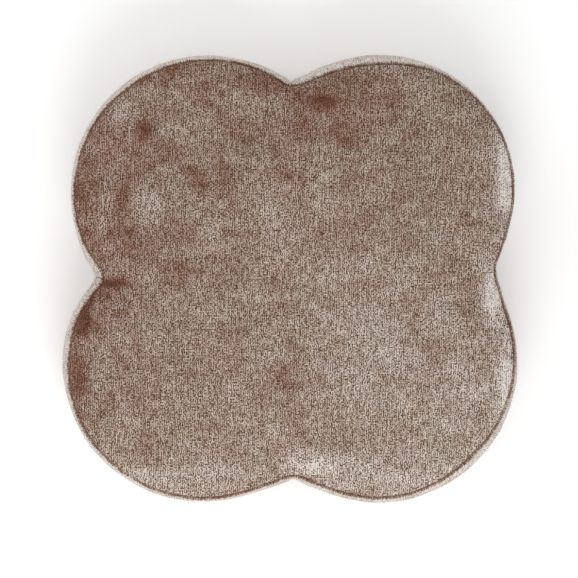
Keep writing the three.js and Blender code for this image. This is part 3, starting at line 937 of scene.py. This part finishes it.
# The base cloth's way over the pocket's edge, up its wall and in to the zip: how far past the
# pocket's end it is, half its width there, and its height. Millimetres.
POCKET_FOLDS = (
    (2.4, POCKET_HALF + 2.4, 0.0), (1.2, POCKET_HALF + 1.2, 0.3), (0.4, POCKET_HALF + 0.4, 1.2),
    (0.1, POCKET_HALF + 0.1, 2.6), (-0.1, POCKET_HALF - 0.1, 4.2),
    (-1.0, POCKET_HALF - 0.9, POCKET_ROOF - 0.1), (-4.0, POCKET_HALF - 3.2, POCKET_ROOF),
    (-8.2, SLOT_HALF + 0.8, POCKET_ROOF), (-9.0, SLOT_HALF, POCKET_ROOF + 0.5),
    (-9.2, SLOT_HALF - 0.2, POCKET_ROOF + 1.6),
)


class CUSHION_OT_base(bpy.types.Operator):
    """Make the two halves of the base, folded into the zip pocket"""
    bl_idname = "cushion.base"
    bl_label = "Base panels"

    def execute(self, context):
        whole = cover()
        total = len(whole.turn)
        ring = whole.base_row + int(np.searchsorted(whole.path[whole.base_row:] - BORDER, 8.0))
        for side, place in ((-1, "front"), (1, "back")):
            start = total // 2 if side < 0 else 0
            columns = np.arange(start, start + total // 2 + 1) % total
            rim = whole.grid[whole.base_row:ring + 1][:, columns]
            count = len(columns)
            folds = [
                pocket_path(POCKET_END + further, half, height, side, count)
                for further, half, height in POCKET_FOLDS
            ]
            shares = np.linspace(0, 1, 26)[1:-1, None, None]
            flat = rim[-1] * (1 - shares) + folds[0] * shares
            flat[..., 2] = np.maximum(0, rim[-1, :, 2] * (1 - shares[..., 0] * 4))
            points = np.concatenate([rim, flat, np.stack(folds)])
            piece = new_piece(
                f"base_cloth_{place}", points.reshape(-1, 3), grid_faces(len(points), count, False),
                material("plain_woven_cotton"),
            )
            thicken(piece, COTTON_THICK)
            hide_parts(f"base_panel_{place}")
        return {"FINISHED"}


# ---------------------------------------------------------------- stitches and zip

def joined(parts):
    """One list of points and one of faces from several (points, faces) pairs."""
    points, faces, count = [], [], 0
    for part_points, part_faces in parts:
        points.append(part_points)
        faces += [tuple(i + count for i in face) for face in part_faces]
        count += len(part_points)
    return np.concatenate(points), faces


def tube(path, radius, sides, reference):
    """A closed tube along a path. radius may be one value or one per point."""
    tangent = np.gradient(path, axis=0)
    tangent /= np.linalg.norm(tangent, axis=1, keepdims=True)
    side = np.cross(tangent, reference)
    side /= np.linalg.norm(side, axis=1, keepdims=True)
    up = np.cross(side, tangent)
    angle = np.arange(sides) * 2 * math.pi / sides
    reach = np.broadcast_to(radius, len(path))[:, None, None]
    ring = side[:, None] * np.cos(angle)[:, None] + up[:, None] * np.sin(angle)[:, None]
    points = (path[:, None] + ring * reach).reshape(-1, 3)
    faces = [face[::-1] for face in grid_faces(len(path), sides, True)]
    faces.append(tuple(range(sides))[::-1])
    faces.append(tuple(range(len(points) - sides, len(points))))
    return points, faces


STITCH_LIFT = 0.3  # how far the thread's middle stands above the cloth


def stitch_line(line, lift, outward, closed=True):
    """Sewn stitches laid end to end along a line of points, each dipping into the cloth."""
    pitch = shape().stitch / MM
    ring = np.concatenate([line, line[:1]]) if closed else line
    out = np.concatenate([outward, outward[:1]]) if closed else outward
    steps = np.concatenate([[0], np.cumsum(np.linalg.norm(np.diff(ring, axis=0), axis=1))])
    count = int(round(steps[-1] / pitch))
    shares = np.array([-0.44, -0.34, -0.14, 0.14, 0.34, 0.44])
    dips = np.array([-0.5, -0.12, 0.0, 0.0, -0.12, -0.5])
    thick = np.array([0.14, 0.28, 0.35, 0.35, 0.28, 0.14])
    parts = []
    for number in range(count):
        at = (number + 0.5 + shares) * steps[-1] / count
        middle = np.stack([np.interp(at, steps, ring[:, k]) for k in range(3)], -1)
        away = np.stack([np.interp(at, steps, out[:, k]) for k in range(3)], -1)
        parts.append(tube(middle + away * (lift + dips)[:, None], thick, 6, away.mean(0)))
    return joined(parts)


class CUSHION_OT_stitches(bpy.types.Operator):
    """Sew the seams with spun thread"""
    bl_idname = "cushion.stitches"
    bl_label = "Seam stitches"

    def execute(self, context):
        whole = cover()
        thread = material("spun_polyester_thread")
        for name, row, node in (
            ("top_seam_stitches", whole.seam_row, "top_seam_thread"),
            ("base_seam_stitches", whole.base_row, "base_seam_thread"),
        ):
            points, faces = stitch_line(whole.grid[row], STITCH_LIFT, whole.normal[row])
            piece = new_piece(name, points, faces, thread)
            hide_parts(node)
        rows = slice(whole.seam_row + 6, whole.base_row - 5)
        parts = []
        for quarter in range(4):
            column = quarter * len(whole.turn) // 4
            parts.append(stitch_line(
                whole.grid[rows, column], STITCH_LIFT, whole.normal[rows, column], closed=False,
            ))
        points, faces = joined(parts)
        new_piece("upright_seam_stitches", points, faces, thread)
        return {"FINISHED"}


class CUSHION_OT_zip(bpy.types.Operator):
    """Make the zip's coils, and finish its tapes, slider and pull"""
    bl_idname = "cushion.zip"
    bl_label = "Zip"

    def execute(self, context):
        low, high = (np.array(corner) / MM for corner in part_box("zip_teeth_back"))
        wire, pitch = 0.3, 1.6  # a real coil's turns are 1.3 mm apart
        turns = int((high[0] - low[0] - 2 * wire) / pitch)
        angle = np.arange(turns * 10 + 1) * 2 * math.pi / 10
        reach = (high[1:] - low[1:]) / 2 - wire
        middle = (high[1:] + low[1:]) / 2
        for side, place in ((1, "back"), (-1, "front")):
            x = low[0] + wire + pitch * angle / (2 * math.pi) + (0.0 if side > 0 else pitch / 2)
            y = side * (middle[0] + reach[0] * np.cos(angle))
            z = middle[1] + reach[1] * np.sin(angle)
            points, faces = tube(np.stack([x, y, z], -1), wire, 5, np.array([1.0, 0, 0]))
            points[:, 0] = np.clip(points[:, 0], low[0], high[0])
            coil = new_piece(f"zip_coil_{place}", points, faces, material("extruded_nylon_coil"))
            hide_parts(f"zip_teeth_{place}")
        finishes = {
            "zip_tape_front": "woven_zip_tape", "zip_tape_back": "woven_zip_tape",
            "zip_slider": "antique_brass_plate", "zip_pull": "antique_brass_plate",
            "zip_top_stop_front": "antique_brass_plate", "zip_top_stop_back": "antique_brass_plate",
            "zip_bottom_stop": "antique_brass_plate",
        }
        for name, finish in finishes.items():
            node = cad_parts[name]
            node.data.materials.clear()
            node.data.materials.append(material(finish))
            if finish == "antique_brass_plate":
                edges = node.modifiers.new("tumbled edges", "BEVEL")
                edges.width = 0.16 * MM
                edges.segments = 2
                edges.limit_method = "ANGLE"
        return {"FINISHED"}


# ---------------------------------------------------------------- pad

PAD_SHOULDER, PAD_SHARE = 22, 0.9  # above this height the pad keeps this share of its height
ZIP_TOP, ZIP_SIDE = 12, 16  # the pad keeps its drawn shape within this height and this half width


class CUSHION_OT_pad(bpy.types.Operator):
    """Make the pad inside the cover: liner, fibre wadding and foam"""
    bl_idname = "cushion.pad"
    bl_label = "Pad"

    def execute(self, context):
        finishes = {"spunbond": "spunbond_liner", "wadding": "carded_fibre", "foam": "cut_foam"}
        for node, slot in PAD_SLOTS.items():
            built = bmesh.new()
            built.from_mesh(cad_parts[node].data)
            bmesh.ops.remove_doubles(built, verts=built.verts, dist=1e-6)
            points = np.array([v.co for v in built.verts]) / MM
            away = np.hypot(points[:, 0], points[:, 1])
            clear_of_zip = np.maximum(
                np.clip((points[:, 2] - ZIP_TOP) / 10, 0, 1),
                np.clip((np.abs(points[:, 1]) - ZIP_SIDE) / 10, 0, 1),
            )
            inward = 3.0 * np.clip((away - 182) / 6, 0, 1) / np.maximum(away, 1)
            moved = stray(points[:, :2]) * clear_of_zip[:, None]
            points[:, :2] += moved - points[:, :2] * inward[:, None]
            # The cover dips between its folds, so the pad stands a little lower under it.
            over = points[:, 2] - PAD_SHOULDER
            points[:, 2] = np.where(over > 0, PAD_SHOULDER + over * PAD_SHARE, points[:, 2])
            faces = [[v.index for v in face.verts] for face in built.faces]
            built.free()
            piece = new_piece(
                f"pad_{node}", points, faces, material(finishes[slot]), smooth=False,
            )
            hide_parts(node)
        return {"FINISHED"}


# ---------------------------------------------------------------- stage

FLOOR_REACH = 6.0  # metres from the middle to each side of the floor
FLOOR_DROP = 0.3 * MM  # keeps the floor clear of the base
AIM = (-0.002, -0.0105, 0.05)
CAMERA_TILT, CAMERA_DISTANCE = math.radians(3.0), 3.6
VIEW_WIDTH = 0.578  # metres across the view at the aim
SENSOR = 36


class CUSHION_OT_stage(bpy.types.Operator):
    """Set the pale floor, the soft lights and the camera"""
    bl_idname = "cushion.stage"
    bl_label = "Stage"

    def execute(self, context):
        scene = context.scene
        floor_mesh = bpy.data.meshes.new("floor")
        corners = ((-1, -1), (1, -1), (1, 1), (-1, 1))
        floor_mesh.from_pydata(
            [(x * FLOOR_REACH, y * FLOOR_REACH, -FLOOR_DROP) for x, y in corners],
            [], [(0, 1, 2, 3)],
        )
        floor = bpy.data.objects.new("floor", floor_mesh)
        scene.collection.objects.link(floor)
        paper, tree, shader = new_material("matt_white_paper")
        shader.inputs["Base Color"].default_value = (*srgb("#f2f2f2"), 1)
        shader.inputs["Roughness"].default_value = 0.95
        shader.inputs["Specular IOR Level"].default_value = 0.1
        # A lit table: some light comes up through the paper, so shadows stay pale.
        shader.inputs["Emission Color"].default_value = (1, 1, 1, 1)
        shader.inputs["Emission Strength"].default_value = 0.21
        # Seen from below, the table is clear, so that the base can be looked at.
        under = add(tree, "ShaderNodeNewGeometry").outputs["Backfacing"]
        clear = add(tree, "ShaderNodeBsdfTransparent").outputs[0]
        sides = add(tree, "ShaderNodeMixShader", {0: under, 1: shader.outputs[0], 2: clear})
        output = next(node for node in tree.nodes if node.type == "OUTPUT_MATERIAL")
        tree.links.new(sides.outputs[0], output.inputs["Surface"])
        floor_mesh.materials.append(paper)

        world = scene.world or bpy.data.worlds.new("studio")
        scene.world = world
        world.use_nodes = True
        background = world.node_tree.nodes["Background"]
        background.inputs[0].default_value = (1, 1, 1, 1)
        background.inputs[1].default_value = 0.66

        self.softbox("key", (0.05, -1.0, 1.05), 1.0, 9)
        self.softbox("fill", (-1.1, 0.9, 1.0), 1.3, 5)

        aim = Vector(AIM)
        sideways = math.sin(CAMERA_TILT) * math.sqrt(0.5)
        position = aim + CAMERA_DISTANCE * Vector((-sideways, sideways, math.cos(CAMERA_TILT)))
        camera_data = bpy.data.cameras.new("camera")
        camera_data.sensor_width = SENSOR
        camera_data.lens = SENSOR * CAMERA_DISTANCE / VIEW_WIDTH
        camera = bpy.data.objects.new("camera", camera_data)
        scene.collection.objects.link(camera)
        forward = (aim - position).normalized()
        right = forward.cross(Vector((0, 1, 0))).normalized()
        up = right.cross(forward)
        camera.location = position
        camera.rotation_euler = facing(right, up, -forward)
        scene.camera = camera
        scene.view_settings.view_transform = "Standard"
        return {"FINISHED"}

    def softbox(self, name, place, size, watts):
        light = bpy.data.lights.new(name, "AREA")
        light.shape = "DISK"
        light.size = size
        light.energy = watts
        lamp = bpy.data.objects.new(name, light)
        lamp.location = place
        lamp.rotation_euler = (-Vector(place)).to_track_quat("-Z", "Y").to_euler()
        bpy.context.scene.collection.objects.link(lamp)


def facing(right, up, back):
    """The rotation that has these three directions as its axes."""
    return Matrix((right, up, back)).transposed().to_euler()


# ---------------------------------------------------------------- add-on

class CUSHION_PT_panel(bpy.types.Panel):
    """Lists the pieces of the cushion and their sizes"""
    bl_idname = "CUSHION_PT_panel"
    bl_label = "Floor cushion"
    bl_space_type = "VIEW_3D"
    bl_region_type = "UI"
    bl_category = "Cushion"

    def draw(self, context):
        for group in (context.scene.cushion_shape, context.scene.cushion_look):
            for name in group.__annotations__:
                self.layout.prop(group, name)
        for operator in STEPS:
            self.layout.operator(operator.bl_idname)


STEPS = (
    CUSHION_OT_top, CUSHION_OT_border, CUSHION_OT_fuzz, CUSHION_OT_base, CUSHION_OT_stitches,
    CUSHION_OT_zip, CUSHION_OT_pad, CUSHION_OT_stage,
)
CLASSES = (CushionShape, CushionLook, *STEPS, CUSHION_PT_panel)


def register():
    for cls in CLASSES:
        bpy.utils.register_class(cls)
    bpy.types.Scene.cushion_shape = PointerProperty(type=CushionShape)
    bpy.types.Scene.cushion_look = PointerProperty(type=CushionLook)


def unregister():
    del bpy.types.Scene.cushion_look
    del bpy.types.Scene.cushion_shape
    for cls in reversed(CLASSES):
        bpy.utils.unregister_class(cls)


def main():
    register()
    for step in STEPS:
        name = step.bl_idname.split(".")[1]
        getattr(bpy.ops.cushion, name)()


if __name__ == "__main__":
    main()
